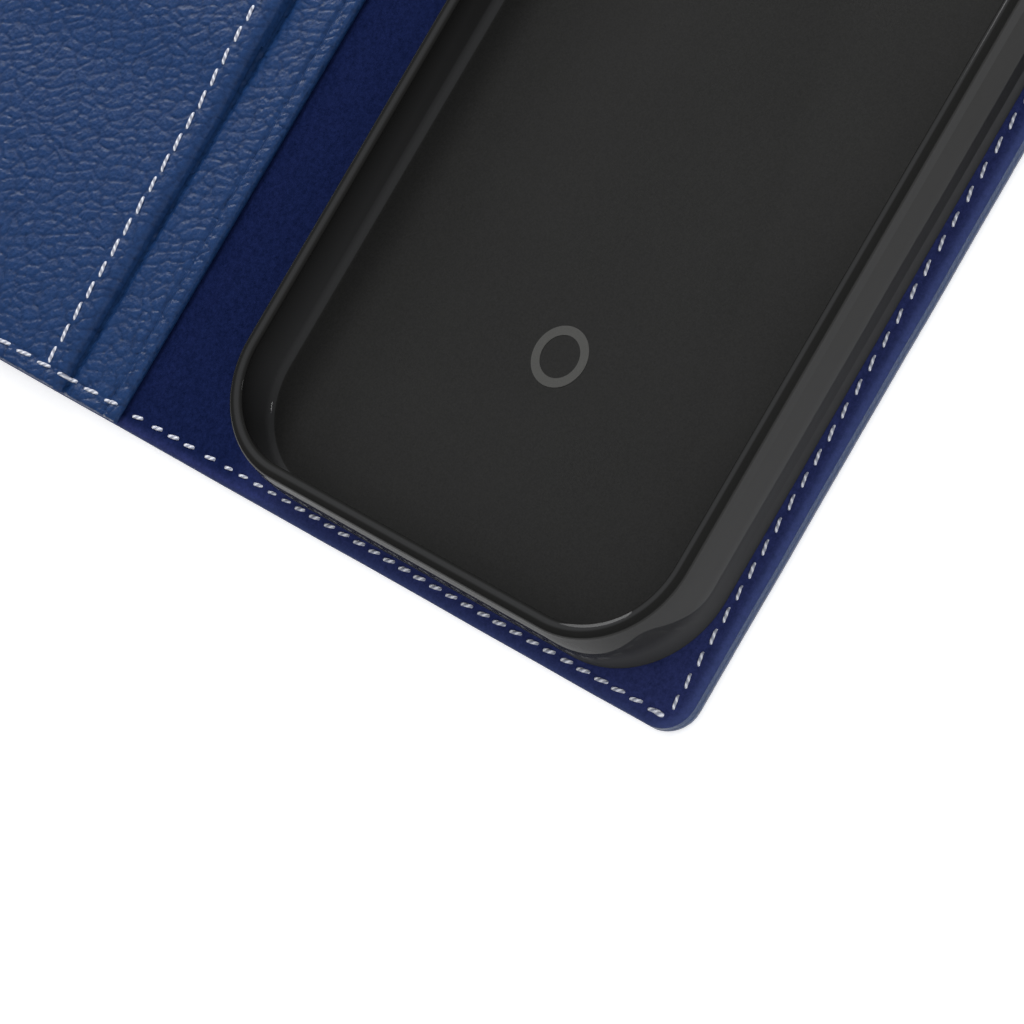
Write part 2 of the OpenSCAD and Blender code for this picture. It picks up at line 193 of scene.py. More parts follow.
def make_mesh(name, points, faces, sharp=38, weld=True, attributes=(), uv=None):
    """An object from points in millimetres and faces of any length, smooth but for its sharp edges."""
    mesh = bpy.data.meshes.new(name)
    faces = [tuple(int(q) for q in f) for f in faces]
    mesh.from_pydata((np.asarray(points, float) * MM).tolist(), [], faces)
    for key, values in attributes:
        mesh.attributes.new(key, "FLOAT", "POINT").data.foreach_set("value", np.asarray(values, np.float32))
    if uv is not None:
        layer = mesh.uv_layers.new(name="UVMap")
        corner = np.zeros(len(mesh.loops), np.int32)
        mesh.loops.foreach_get("vertex_index", corner)
        layer.data.foreach_set("uv", np.asarray(uv, np.float32)[corner].ravel())
    if weld:
        bm = bmesh.new()
        bm.from_mesh(mesh)
        bmesh.ops.remove_doubles(bm, verts=bm.verts, dist=2e-6)
        bmesh.ops.dissolve_degenerate(bm, edges=bm.edges, dist=1e-7)
        bm.to_mesh(mesh)
        bm.free()
    mesh.validate()
    mesh.shade_smooth()
    mesh.set_sharp_from_angle(angle=math.radians(sharp))
    obj = bpy.data.objects.new(name, mesh)
    bpy.context.scene.collection.objects.link(obj)
    return obj


def settle(obj, body, node, slot, *materials):
    """Gives a finished piece its materials, parents it to its body and hides the CAD node it stands for;
    the slot is not used. A body is a name, or (first body, second body, start, end) for a piece between
    the two, which is only baked in place: its two bodies, start and end are not used."""
    for material in materials:
        obj.data.materials.append(material)
    if isinstance(body, str):
        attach(obj, body)
    else:
        a, b, start, end = body
        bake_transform(obj)
        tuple(start)
        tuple(end)
    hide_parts(node)
    return obj


def cut(obj, cutter, sharp=38):
    """Cuts the closed cutter out of obj and removes the cutter."""
    mod = obj.modifiers.new("cut", "BOOLEAN")
    mod.operation, mod.solver, mod.object = "DIFFERENCE", "EXACT", cutter
    bpy.context.view_layer.update()
    done = bpy.data.meshes.new_from_object(obj.evaluated_get(bpy.context.evaluated_depsgraph_get()))
    obj.modifiers.clear()
    old, obj.data = obj.data, done
    bpy.data.meshes.remove(old)
    bpy.data.objects.remove(cutter)
    obj.data.shade_smooth()
    obj.data.set_sharp_from_angle(angle=math.radians(sharp))
    return obj


def round_corners(x, y, rect, r, corners):
    """Pulls the square corners of a rectangle in to round ones: within r of a corner, a point's
    offsets (a, b) from the arc's centre are scaled by max(a, b) / hypot(a, b)."""
    x0, x1, y0, y1 = rect
    x, y = x.copy(), y.copy()
    for sx, sy in corners:
        cx = x1 - r if sx > 0 else x0 + r
        cy = y1 - r if sy > 0 else y0 + r
        a, b = (x - cx) * sx, (y - cy) * sy
        inside = (a > 0) & (b > 0)
        a, b = a[inside], b[inside]
        k = np.maximum(a, b) / np.maximum(np.hypot(a, b), 1e-9)
        x[inside] = cx + sx * a * k
        y[inside] = cy + sy * b * k
    return x, y


def roll(d, reach, fall):
    """How far a face has dropped at distance d from a rolled edge: a quarter ellipse."""
    t = np.clip(1 - d / reach, 0, 1)
    return fall * (1 - np.sqrt(1 - t * t))


def sway(x, y, rect, free):
    """A slow waviness of the free edges, dying out inwards."""
    x0, x1, y0, y1 = rect
    depth, wave = 1.5, 9
    moved = {"x": np.zeros(x.shape), "y": np.zeros(x.shape)}
    for side, axis, d, along, k in (("right", "x", x1 - x, y, 31), ("left", "x", x - x0, y, 33),
                                    ("low", "y", y - y0, x, 35), ("high", "y", y1 - y, x, 37)):
        if side in free:
            moved[axis] = moved[axis] + np.exp(-d / depth) * ripple(along / wave, 0 * along, k)
    return x + SWAY * moved["x"], y + SWAY * moved["y"]


def leaf(name, rect, xs, ys, face, back, free, reach, fall, corner, tuck, up=1, lip=None,
         relief=None, relief_h=0.0):
    """A flat piece of leather as one closed skin.

    The face is a grid at height face(x, y), whose free sides roll over by a quarter ellipse, reach
    wide and fall high. From that edge line a wall runs to the other side, which is ladder strips at
    height back(y) and lies tuck further in. lip = (reach, fall, tuck) rolls the right side further
    than the free ones. up is -1 for a piece whose face looks down. relief(x, y) from 0 to 1 stands
    relief_h high.

    Two attributes are kept for the materials: "grain" is the relief, which also gives the leather a darker
    colour in its creases, painted shade; "edge" says how light the lining is, from 0 in the middle to
    EDGE_TONE at a free side, which is edge paint, with a lighter margin on the back cover, which is painted
    light."""
    x0, x1, y0, y1 = rect
    gx, gy = np.meshgrid(xs, ys, indexing="ij")
    n, m = gx.shape
    far = np.full(gx.shape, 1e3)
    for side, d in (("left", gx - x0), ("right", x1 - gx), ("low", gy - y0), ("high", y1 - gy)):
        if side in free:
            far = np.minimum(far, d)
    drop = roll(far, reach, fall)
    if lip:
        drop = np.maximum(drop, roll(x1 - gx, lip[0], lip[1]))
    corners = [(sx, sy) for sx, across in ((1, "right"), (-1, "left"))
               for sy, along in ((1, "high"), (-1, "low")) if across in free and along in free]
    px, py = round_corners(gx, gy, rect, corner, corners)
    height = face(px, py)
    top = np.ones(gx.shape)
    if relief is not None:
        top = relief(px, py)
        height = height + up * relief_h * (top - 0.7) * np.clip(0.25 + far / 1.2, 0, 1)
    z = height - up * drop
    px, py = sway(px, py, rect, free)

    # the edge line, anticlockwise from the lower left corner, and the other side's outline
    loop = np.concatenate([np.arange(n) * m, (n - 1) * m + np.arange(1, m),
                           np.arange(n - 2, -1, -1) * m + m - 1, np.arange(m - 2, 0, -1)])
    inset = {side: (tuck if side in free else 0.0) for side in ("left", "right", "low", "high")}
    if lip:
        inset["right"] = lip[2]
    lx, ly = gx.ravel()[loop], gy.ravel()[loop]
    sx = x0 + inset["left"] + (lx - x0) * ((x1 - x0 - inset["left"] - inset["right"]) / (x1 - x0))
    sy = y0 + inset["low"] + (ly - y0) * ((y1 - y0 - inset["low"] - inset["high"]) / (y1 - y0))
    small = (x0 + inset["left"], x1 - inset["right"], y0 + inset["low"], y1 - inset["high"])
    sx, sy = round_corners(sx, sy, small, max(corner - tuck, 0.0), corners)
    sx, sy = sway(sx, sy, rect, free)
    edge_z, back_z = z.ravel()[loop], back(sy)
    under = edge_z if lip else edge_z + 0.25 * (back_z - edge_z)
    rings = [] if lip else [np.stack([px.ravel()[loop], py.ravel()[loop], under], -1)]
    rings += [np.stack([sx, sy, np.where(np.abs(under - back_z) < 1e-6, back_z, under)], -1),
              np.stack([sx, sy, back_z], -1)]

    count = len(loop)
    nxt = (np.arange(count) + 1) % count
    faces = [tuple(f) for f in grid_quads(n, m)]
    previous = loop
    for q in range(len(rings)):
        ids = n * m + q * count + np.arange(count)
        faces += [tuple(f) for f in np.stack([previous, ids, ids[nxt], previous[nxt]], 1)]
        previous = ids
    # ladder: low row, then strips between the two sides, then the high row
    low_row, right_col = previous[:n], previous[n - 1:n + m - 1]
    high_row = previous[n + m - 2:2 * n + m - 2]
    left_col = np.concatenate([previous[:1], previous[:2 * n + m - 3:-1]])
    faces += [tuple(low_row[::-1]) + (left_col[1], right_col[1])]
    faces += [(left_col[j], left_col[j + 1], right_col[j + 1], right_col[j]) for j in range(1, m - 2)]
    faces += [tuple(high_row[::-1]) + (right_col[m - 2], left_col[m - 2])]
    if up < 0:
        faces = [f[::-1] for f in faces]

    # painted light: a lighter margin of painted light starts past the fold and fades out between 5.5 and 9.5
    # mm from the edge; near a free side it turns to the edge paint's tone
    lit_margin_and_edge_paint = 0.5 * np.clip((px - COVER_X - 1) / 9, 0, 1) * np.clip((9.5 - far) / 4, 0, 1)
    lit_margin_and_edge_paint = lit_margin_and_edge_paint + (EDGE_TONE - lit_margin_and_edge_paint) * np.clip(1 - far / 1.4, 0, 1)
    kept = [(key, np.concatenate([values.ravel(), np.full(count * len(rings), EDGE_TONE)]))
            for key, values in (("grain", top), ("edge", lit_margin_and_edge_paint))]
    points = np.concatenate([np.stack([px, py, z], -1).reshape(-1, 3)] + rings)
    return make_mesh(name, points, faces, attributes=kept)


def level(z):
    """The other side of a leaf whose back is flat."""
    return lambda y: np.full(np.shape(y), float(z))


# ---------------------------------------------------------------- seams

def gutter(d, depth, half):
    """A soft trough along a seam, depth deep at distance 0."""
    return depth * np.exp(-(d / half) ** 2)


def cover_seam_distance(x, y, side):
    """Distance to the three straight runs of a cover's seam; side is 1 at the back, -1 at the front."""
    along = np.abs(np.abs(y) - SEAM_Y) + 9 * (x * side > SEAM_X + 0.1)
    return np.minimum(along, np.abs(x * side - SEAM_X) + 9 * (np.abs(y) > SEAM_Y + 0.1))


def window_distance(x, y):
    """Distance to the seam round the camera window, a rectangle with round corners."""
    qx = np.abs(x - window_mid[0]) - (WINDOW_SEAM[0] - WINDOW_SEAM_R)
    qy = np.abs(y - window_mid[1]) - (WINDOW_SEAM[1] - WINDOW_SEAM_R)
    beyond = np.hypot(np.maximum(qx, 0), np.maximum(qy, 0)) + np.minimum(np.maximum(qx, qy), 0)
    return np.abs(beyond - WINDOW_SEAM_R)


def run(start, end, pitch, shown, width, slant, seed):
    """Stitches between two points: rows of (x, y, direction x, direction y, length, width).
    Along the run the pitch drifts from pitch[0] to pitch[1] and the length that shows from shown[0]
    to shown[1]. Each stitch is turned by about slant radians from the seam."""
    start, end = np.array(start, float), np.array(end, float)
    length = float(np.hypot(*(end - start)))
    d = (end - start) / length
    mean = (pitch[0] + pitch[1]) / 2
    n = max(1, int(round(length / mean)))
    j = np.arange(n)
    t = (j + 0.5) / n
    share = t * (1 + (pitch[1] - pitch[0]) / (2 * mean) * (t - 1))
    # place, turn, length, side shift and width of each stitch vary a little, as hands and needles do
    share = share + 0.05 * (scatter(j, 0 * j, seed) - 0.5) / n
    # turned anticlockwise as seen from above, whichever way the run goes
    turn = slant * (0.85 + 0.3 * scatter(j, 0 * j + 1, seed))
    ux = d[0] * np.cos(turn) - d[1] * np.sin(turn)
    uy = d[0] * np.sin(turn) + d[1] * np.cos(turn)
    size = (shown[0] + (shown[1] - shown[0]) * t) * (0.93 + 0.14 * scatter(j, 0 * j + 2, seed))
    across = 0.05 * (scatter(j, 0 * j + 3, seed) - 0.5)
    x = start[0] + d[0] * length * share - d[1] * across
    y = start[1] + d[1] * length * share + d[0] * across
    return np.stack([x, y, ux, uy, size, width * (0.94 + 0.12 * scatter(j, 0 * j + 4, seed))], 1)


def wander(rows):
    """The lower seam was sewn by eye: it drifts out towards the cover's free corner."""
    start, length, drift = 12, 40, 0.36
    t = np.clip((rows[:, 0] - start) / length, 0, 1)
    rows[:, 1] -= drift * t * t * (3 - 2 * t)
    return rows


RINGS, SIDES = 9, 6
# how high a stitch's middle stands, how much lower its ends lie, and its height as a share of its width
STITCH_UP, STITCH_DIP, STITCH_FLAT = 0.10, 0.42, 0.78


def stitch_mesh(name, groups):
    """Every stitch of a seam in one mesh. groups holds (rows, height(x, y), up).

    A stitch is a tube: with s from -1 to 1 along it, its radius falls off as 1 - |s|^3.2 to the power
    0.55, and its centre dips into the leather as |s|^5. Its ends are closed. The UV map holds the
    place along a stitch in millimetres and the share of the way round it."""
    points, faces, coords, start = [], [], [], 0
    block = RINGS * SIDES
    i, j = np.meshgrid(np.arange(RINGS - 1), np.arange(SIDES), indexing="ij")
    i, j = i.ravel(), j.ravel()
    jn = (j + 1) % SIDES
    one = np.stack([i * SIDES + j, (i + 1) * SIDES + j, (i + 1) * SIDES + jn, i * SIDES + jn], 1)
    t = np.linspace(0, 1, RINGS)
    s = 2 * t - 1
    a = np.arange(SIDES) / SIDES * 2 * math.pi
    for rows, height, up in groups:
        x, y, ux, uy, size, width = rows.T
        radius = width[:, None] / 2 * np.clip(1 - np.abs(s) ** 3.2, 0.04, 1) ** 0.55 * (1 - 0.08 * s)
        cx = x[:, None] + ux[:, None] * size[:, None] * s / 2
        cy = y[:, None] + uy[:, None] * size[:, None] * s / 2
        cz = height(cx, cy) + up * (STITCH_UP - STITCH_DIP * np.abs(s) ** 5)
        side, rise = np.cos(a), np.sin(a)
        px = cx[:, :, None] - uy[:, None, None] * radius[:, :, None] * side
        py = cy[:, :, None] + ux[:, None, None] * radius[:, :, None] * side
        pz = cz[:, :, None] + STITCH_FLAT * radius[:, :, None] * rise
        points.append(np.stack([px, py, pz], -1).reshape(-1, 3))
        n = len(rows)
        body = (one[None] + start + np.arange(n)[:, None, None] * block).reshape(-1, 4)
        faces += [tuple(f) for f in body]
        head = np.arange(SIDES)
        for q in range(n):
            faces.append(tuple(start + q * block + head))
            faces.append(tuple(start + q * block + (RINGS - 1) * SIDES + head[::-1]))
        u = (t[None, :] * size[:, None])[:, :, None] + np.zeros(SIDES)
        v = np.zeros(u.shape) + np.arange(SIDES) / SIDES
        coords.append(np.stack([u, v], -1).reshape(-1, 2))
        start += n * block
    return make_mesh(name, np.concatenate(points), faces, sharp=70, weld=False, uv=np.concatenate(coords))


# ---------------------------------------------------------------- finishes

class Flow:
    """A number socket of a material. Python's operators on it add Math nodes."""

    def __init__(self, paint, socket):
        self.paint, self.socket = paint, socket

    def apply(self, operation, *others):
        return self.paint.node("ShaderNodeMath", {"operation": operation}, dict(enumerate((self,) + others)))

    def __add__(self, other):
        return self.apply("ADD", other)

    def __mul__(self, other):
        return self.apply("MULTIPLY", other)

    def __sub__(self, other):
        return self.apply("SUBTRACT", other)

    def __rsub__(self, other):
        return self * -1 + other

    __radd__ = __add__
    __rmul__ = __mul__


class Paint:
    """A material in the making: one Principled shader, and nodes that feed it."""

    def __init__(self, name, **even):
        self.material = bpy.data.materials.new(name)
        self.material.use_nodes = True
        self.tree = self.material.node_tree
        self.shader = self.tree.nodes["Principled BSDF"]
        for key, value in even.items():
            self.shader.inputs[key.replace("_", " ")].default_value = value

    def node(self, kind, settings=None, values=None, out=0):
        """Adds a node: its settings first, then the values or links of its sockets."""
        n = self.tree.nodes.new(kind)
        for key, value in (settings or {}).items():
            setattr(n, key, value)
        for key, value in (values or {}).items():
            if isinstance(value, Flow):
                self.tree.links.new(value.socket, n.inputs[key])
            else:
                n.inputs[key].default_value = value
        return Flow(self, n.outputs[out])

    def place(self):
        """The piece's own coordinates."""
        return self.node("ShaderNodeTexCoord", out="Object")

    def kept(self, name):
        """An attribute that the mesh keeps."""
        return self.node("ShaderNodeAttribute", {"attribute_name": name}, out="Fac")

    def halves(self, at):
        """The first two numbers of a set of coordinates."""
        parts = self.node("ShaderNodeSeparateXYZ", {}, {0: at})
        return parts, Flow(self, parts.socket.node.outputs[1])

    def noise(self, at, size, detail=3.0, rough=0.55, stretch=None):
        """Noise with features about size millimetres across."""
        if stretch:
            at = self.node("ShaderNodeMapping", {}, {0: at, 3: stretch})
        return self.node("ShaderNodeTexNoise", {},
                         {"Vector": at, "Scale": 1 / (size * MM), "Detail": detail, "Roughness": rough})

    def cells(self, at, size):
        """Distance to the nearest of scattered points, about size millimetres apart."""
        return self.node("ShaderNodeTexVoronoi", {}, {"Vector": at, "Scale": 1 / (size * MM)})

    def mix(self, share, a, b):
        """A colour between a and b."""
        return self.node("ShaderNodeMix", {"data_type": "RGBA", "clamp_factor": True},
                         {0: share, 6: a, 7: b}, out=2)

    def bump(self, height, depth, strength=1.0):
        """A normal from a height of 0 to 1 that stands for depth millimetres."""
        return self.node("ShaderNodeBump", {},
                         {"Height": height, "Distance": depth * MM, "Strength": strength})

    def feed(self, **links):
        """Links what varies to the shader's sockets, and gives the finished material."""
        for key, value in links.items():
            self.tree.links.new(value.socket, self.shader.inputs[key.replace("_", " ")])
        return self.material


def shade(r, g, b):
    return (r, g, b, 1.0)


def pebbled_leather():
    p = Paint("pebbled_leather", Specular_IOR_Level=0.40)
    at = p.place()
    top = p.kept("grain")
    cloud = p.noise(at, 9.0, 2.0)
    speck = p.noise(at, 0.5, 4.0, 0.7)
    pores = p.cells(at, 0.55)
    # painted shade: the creases, where the grain is low, take the darker colour; speck varies the tone at
    # random
    tone = p.mix(top * 0.7 + speck * 1.6 - 0.6, shade(0.0016, 0.0085, 0.034), shade(0.0105, 0.0345, 0.108))
    tone = p.mix(cloud * 0.35, tone, shade(0.0078, 0.0265, 0.088))
    fine = p.bump(pores * 0.6 + speck * 0.8, 0.075)
    return p.feed(Base_Color=tone, Roughness=0.29 - top * 0.04 + speck * 0.16, Normal=fine)


def smooth_lining():
    p = Paint("smooth_lining", Specular_IOR_Level=0.02)
    at = p.place()
    cloud = p.noise(at, 6.0, 3.0)
    speck = p.noise(at, 0.28, 4.0, 0.75)
    nap_tone = speck * 1.8 + p.noise(at, 0.7, 3.0, 0.7) * 1.6 - 1.2
    tone = p.mix(nap_tone, shade(0.0020, 0.0044, 0.021), shade(0.0076, 0.0132, 0.056))
    tone = p.mix(cloud * 0.3, tone, shade(0.0042, 0.0080, 0.037))
    margin_light_and_edge_paint = p.kept("edge")
    # painted light: the back cover's margin is mixed towards a lighter colour, and the free sides too
    tone = p.mix(margin_light_and_edge_paint * 1.2, tone, p.mix(nap_tone, shade(0.0175, 0.0235, 0.082), shade(0.036, 0.046, 0.158)))
    # edge paint at the free sides
    tone = p.mix(margin_light_and_edge_paint * 2 - 1, tone, shade(0.026, 0.039, 0.095))
    nap = p.bump(speck, 0.02, 0.7)
    return p.feed(Base_Color=tone, Roughness=0.62 + speck * 0.2, Normal=nap)


def gloss_shell():
    p = Paint("gloss_shell", Specular_IOR_Level=0.0, Coat_Roughness=0.03)
    at = p.place()
    slow = p.noise(at, 14.0, 2.0)
    dust = p.noise(at, 0.35, 3.0, 0.8)
    tone = p.mix(slow, shade(0.0085, 0.0085, 0.0082), shade(0.0110, 0.0110, 0.0106))
    painted_light = p.kept("painted_light")
    # painted reflection and highlight: the grey is painted lighter on the outer wall, the crest, the cove
    # and the foot
    tone = p.mix(painted_light, tone, shade(0.043, 0.0435, 0.045))
    even = p.bump(slow, 0.05, 0.06)
    # less coat where that painted light is strong
    coat_by_painted_light = p.mix(painted_light * 5 - 3.1, shade(0.32, 0.32, 0.32), shade(0.12, 0.12, 0.12))
    return p.feed(Base_Color=tone, Roughness=0.34 + dust * 0.08, Coat_Weight=coat_by_painted_light, Normal=even)


def shell_floor():
    p = Paint("shell_floor", Specular_IOR_Level=0.12)
    at = p.place()
    fine = p.noise(at, 0.22, 2.0, 0.6)
    slow = p.noise(at, 22.0, 2.0)
    tone = p.mix(fine * 1.6 + slow * 0.4 - 0.5, shade(0.0120, 0.0120, 0.0117), shade(0.0200, 0.0200, 0.0196))
    return p.feed(Base_Color=tone, Roughness=0.66 + fine * 0.12, Normal=p.bump(fine, 0.012, 0.6))


def thread_white():
    p = Paint("thread_white", Specular_IOR_Level=0.3)
    u, v = p.halves(p.node("ShaderNodeUVMap"))
    plies = (v * (4 * math.pi) + u * 7.0).apply("SINE") * 0.5 + 0.5
    fuzz = p.noise(p.place(), 0.12, 3.0, 0.7)
    # painted shade: the grooves between the plies take the dark blue-grey, the plies' crowns the white
    tone = p.mix(plies * 0.7 + fuzz * 0.3, shade(0.17, 0.19, 0.27), shade(0.78, 0.79, 0.84))
    twist = p.bump(plies * 0.8 + fuzz * 0.3, 0.16)
    return p.feed(Base_Color=tone, Roughness=0.55 + fuzz * 0.3, Normal=twist)


def grey_board():
    p = Paint("grey_board", Specular_IOR_Level=0.2)
    fibres = p.noise(p.place(), 0.8, 5.0, 0.7, (1.0, 0.25, 1.0))
    tone = p.mix(fibres, shade(0.22, 0.19, 0.13), shade(0.36, 0.32, 0.24))
    return p.feed(Base_Color=tone, Roughness=0.8 + fibres * 0.15, Normal=p.bump(fibres, 0.05))


def foam_pad():
    p = Paint("foam_pad", Specular_IOR_Level=0.3)
    cells = p.cells(p.place(), 0.4)
    tone = p.mix(cells, shade(0.018, 0.018, 0.018), shade(0.045, 0.045, 0.045))
    return p.feed(Base_Color=tone, Roughness=0.7 + cells * 0.2, Normal=p.bump(cells, 0.05))


def matte_print():
    p = Paint("matte_print", Specular_IOR_Level=0.3)
    fine = p.noise(p.place(), 0.2, 3.0, 0.6)
    tone = p.mix(fine, shade(0.040, 0.040, 0.038), shade(0.060, 0.060, 0.057))
    return p.feed(Base_Color=tone, Roughness=0.5 + fine * 0.15, Normal=p.bump(fine, 0.01, 0.5))


def pocket_weave():
    p = Paint("pocket_weave", Sheen_Weight=0.1)
    x, y = p.halves(p.place())
    pitch = 2 * math.pi / (0.35 * MM)
    over = (x * pitch).apply("SINE") * (y * pitch).apply("SINE") * 0.5 + 0.5
    tone = p.mix(over, shade(0.006, 0.010, 0.040), shade(0.014, 0.022, 0.080))
    return p.feed(Base_Color=tone, Roughness=0.7 + over * 0.15, Normal=p.bump(over, 0.06))


LEATHER, LINING = pebbled_leather(), smooth_lining()
GLOSS, FLOOR_MATTE = gloss_shell(), shell_floor()
THREAD, BOARD, FOAM = thread_white(), grey_board(), foam_pad()
PRINT, WEAVE = matte_print(), pocket_weave()


# ---------------------------------------------------------------- covers, spine and folds

ENDS = ("low", "high")
fold_back = ("back_cover", "spine", (COVER_X * MM, 0, 0), (SPINE_X * MM, 0, 0))
fold_front = ("front_cover", "spine", (-COVER_X * MM, 0, 0), (-SPINE_X * MM, 0, 0))
# (strip, x0, x1, free sides, body, grid pitch)
STRIPS = [
    ("back", COVER_X, EDGE_X, ("right",) + ENDS, "back_cover", 0.46),
    ("back_fold", SPINE_X, COVER_X, ENDS, fold_back, 0.4),
    ("spine", -SPINE_X, SPINE_X, ENDS, "spine", 0.46),
    ("front_fold", -COVER_X, -SPINE_X, ENDS, fold_front, 0.4),
    ("front", -EDGE_X, -COVER_X, ("left",) + ENDS, "front_cover", 0.46),
]
NAMES = {
    "back": ("back_outer_leather", "back_lining"),
    "back_fold": ("back_fold_leather", "back_fold_lining"),
    "spine": ("spine_outer_leather", "spine_lining"),
    "front_fold": ("front_fold_leather", "front_fold_lining"),
    "front": ("front_outer_leather", "front_lining"),
}


def seam_distance(x, y):
    """Distance to the edge seam, anywhere on the case."""
    covers = np.where(x > 0, cover_seam_distance(x, y, 1), cover_seam_distance(x, y, -1))
    return np.where(np.abs(x) < COVER_X + 1, np.abs(np.abs(y) - SEAM_Y), covers)


def outside_face(x, y):
    """The outer face looks down, so a trough there rises."""
    return gutter(seam_distance(x, y), *OUTER_TROUGH) + gutter(window_distance(x, y), *OUTER_TROUGH)


def inside_face(x, y):
    """The lining: nearly flat, pulled down a little along the seam."""
    return INSIDE_Z - gutter(seam_distance(x, y), *LINING_TROUGH) + 0.02 * ripple(x / 7, y / 7, 41)


def fine_bands(rect, free, seams, width):
    """Bands where a grid is finer: rolled edges, width wide, and seams, for x and for y."""
    x0, x1, y0, y1 = rect
    near = 0.45
    bx, by = ([(s - near, s + near) for s in places] for places in seams)
    bx += [(x0, x0 + width)] * ("left" in free) + [(x1 - width, x1)] * ("right" in free)
    by += [(y0, y0 + width)] * ("low" in free) + [(y1 - width, y1)] * ("high" in free)
    return bx, by


skins = {}
for key, x0, x1, free, body, pitch in STRIPS:
    rect = (x0, x1, -HALF_LEN, HALF_LEN)
    seams = ([SEAM_X, -SEAM_X], [SEAM_Y, -SEAM_Y])
    bx, by = fine_bands(rect, free, seams, 0.9)
    outer_name, lining_name = NAMES[key]
    skins[outer_name] = leaf(
        outer_name + "_skin", rect, places(x0, x1, pitch, bx, FINE),
        places(-HALF_LEN, HALF_LEN, 0.5, by, FINE), outside_face, level(OUTER_T), free, reach=0.75,
        fall=0.85, corner=COVER_R, tuck=LINING_IN, up=-1, relief=grain, relief_h=0.17)
    inner = (x0 + LINING_IN * ("left" in free), x1 - LINING_IN * ("right" in free),
             -HALF_LEN + LINING_IN, HALF_LEN - LINING_IN)
    bx, by = fine_bands(inner, free, seams, 1.2)
    coarse = 0.7 if key in ("back", "front") else 0.4
    skins[lining_name] = leaf(
        lining_name + "_skin", inner, places(inner[0], inner[1], coarse, bx, FINE),
        places(inner[2], inner[3], 0.7, by, FINE), inside_face, level(OUTER_T), free, reach=0.70,
        fall=0.80, corner=COVER_R - LINING_IN, tuck=LINING_IN)


def round_outline(half_w, half_l, r, n):
    """Points round a rectangle with round corners, anticlockwise from its right side's upper end,
    and the direction (cosine, sine) in which its edge faces at each."""
    turn = np.linspace(0, math.pi / 2, n)
    a = np.concatenate([turn + q * math.pi / 2 for q in range(4)])
    sx, sy = np.repeat([1, -1, -1, 1], n), np.repeat([1, 1, -1, -1], n)
    c, s = np.cos(a), np.sin(a)
    return sx * (half_w - r) + r * c, sy * (half_l - r) + r * s, c, s


def flared_cutter(name, middle, half, r, levels, upright=True):
    """A closed cutter: rings of a round-cornered rectangle at the levels (place, growth), which are
    heights if it stands upright and places across the case if it lies along X."""
    rings = []
    for place, growth in levels:
        a, b, _, _ = round_outline(half[0] + growth, half[1] + growth, r + growth, 12)
        c = np.full(a.shape, float(place))
        if upright:
            rings.append(np.stack([a + middle[0], b + middle[1], c], 1))
        else:
            rings.append(np.stack([c, a + middle[0], b + middle[1]], 1))
    n = len(rings[0])
    k = np.arange(n)
    nxt = (k + 1) % n
    faces = []
    for q in range(len(rings) - 1):
        here, above = q * n, (q + 1) * n
        faces += [tuple(f) for f in np.stack([here + k, here + nxt, above + nxt, above + k], 1)]
    faces.append(tuple(k[::-1]))
    faces.append(tuple((len(rings) - 1) * n + k))
    return make_mesh(name, np.concatenate(rings), faces, weld=False)


def ease(lowest, r):
    """Levels of a rounded edge at a lower face: growth falls from r to 0 as a quarter circle."""
    a = np.linspace(0, math.pi / 2, 5)
    return [(lowest - 1.0, r)] + [(lowest + r * (1 - math.cos(t)), r * (1 - math.sin(t))) for t in a]


cut(skins["back_outer_leather"], flared_cutter(
    "tool_a", window_mid, WINDOW, WINDOW_R, ease(0.0, 0.7) + [(OUTER_T + 1, 0.0)]))
cut(skins["back_lining"], flared_cutter(
    "tool_b", window_mid, WINDOW, WINDOW_R, [(OUTER_T - 1, 0.0), (INSIDE_Z + 1, 0.0)]))

for key, x0, x1, free, body, pitch in STRIPS:
    outer_name, lining_name = NAMES[key]
    settle(skins[outer_name], body, outer_name, "pebbled_leather", LEATHER)
    settle(skins[lining_name], body, lining_name, "smooth_lining", LINING)


# ---------------------------------------------------------------- pockets on the front cover

HEM_W, HEM_H = 2.2, 0.36
PEBBLE_H = 0.20
SLOTS_TOP = float(slot_high[3][1])
FREE = ("left",) + ENDS
card_seams = ([-SEAM_X, CARD_SEAM_X], [SEAM_Y, -SEAM_Y])


def pocket_seams(x, y):
    """Distance to the edge seam or the card panels' seam."""
    return np.minimum(cover_seam_distance(x, y, -1), np.abs(x - CARD_SEAM_X))


def cash_face(x, y):
    """The cash pocket's panel: flat, with its turned hem standing up, a crease behind the hem and a
    trough beside the card panels, which press into it."""
    d = CASH_X - x
    hem = HEM_H / (1 + np.exp((d - HEM_W) / 0.16))
    crease = gutter(d - HEM_W - 0.4, 0.26, 0.3) + gutter(x - CARD_X - 0.1, 0.38, 0.55)
    return CASH_TOP + hem - crease - gutter(cover_seam_distance(x, y, -1), 0.10, 0.5)


LEFT, LOW, HIGH = -EDGE_X + POCKET_IN, -HALF_LEN + POCKET_IN, HALF_LEN - POCKET_IN
cash_rect = (LEFT, CASH_X, LOW, HIGH)
bx, by = fine_bands(cash_rect, FREE, ([-SEAM_X], [SEAM_Y, -SEAM_Y]), 0.6)
